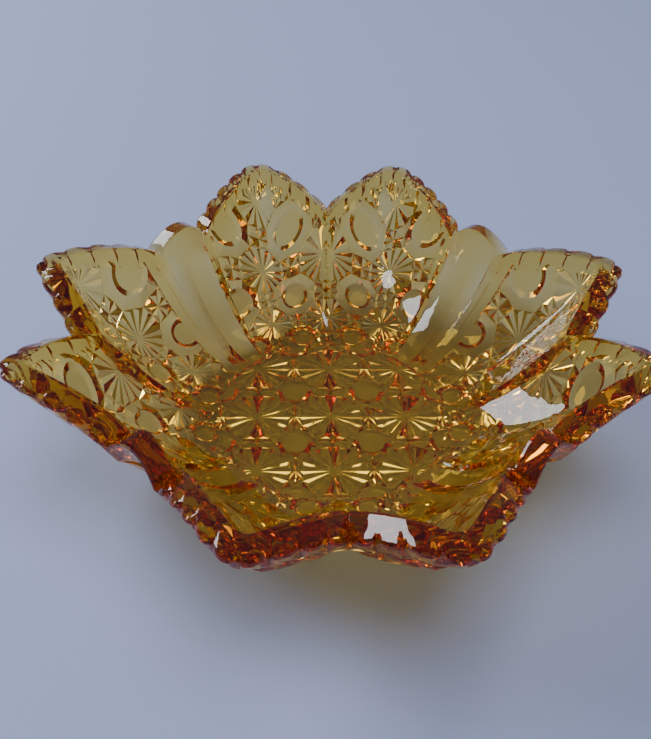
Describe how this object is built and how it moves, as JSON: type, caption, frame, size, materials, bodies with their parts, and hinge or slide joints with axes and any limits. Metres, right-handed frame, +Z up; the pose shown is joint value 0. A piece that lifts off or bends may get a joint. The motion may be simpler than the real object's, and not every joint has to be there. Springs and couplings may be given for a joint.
{
  "type": "pressed glass dish",
  "caption": "Shallow open dish in amber pressed glass, with a flat floor and a flared wall of scooped lobes in pairs, plain corner flutes and a beaded rim; it holds sweets or small things.",
  "frame": {"origin": "middle of the flat underside", "axes": "+Z up through the middle of the dish; +X and +Y each point at the notch between the two lobes of one side"},
  "size_m": [0.1652, 0.1652, 0.0417],
  "materials": {
    "amber_glass": "clear, fire-polished inside, with the pattern pressed in the outside"
  },
  "bodies": {
    "root": {"floor": "amber_glass", "lobe_left_1": "amber_glass", "lobe_right_1": "amber_glass", "lobe_left_2": "amber_glass", "lobe_right_2": "amber_glass", "lobe_left_3": "amber_glass", "lobe_right_3": "amber_glass", "lobe_left_4": "amber_glass", "lobe_right_4": "amber_glass", "flute_1": "amber_glass", "flute_2": "amber_glass", "flute_3": "amber_glass", "flute_4": "amber_glass"}
  },
  "joints": []
}
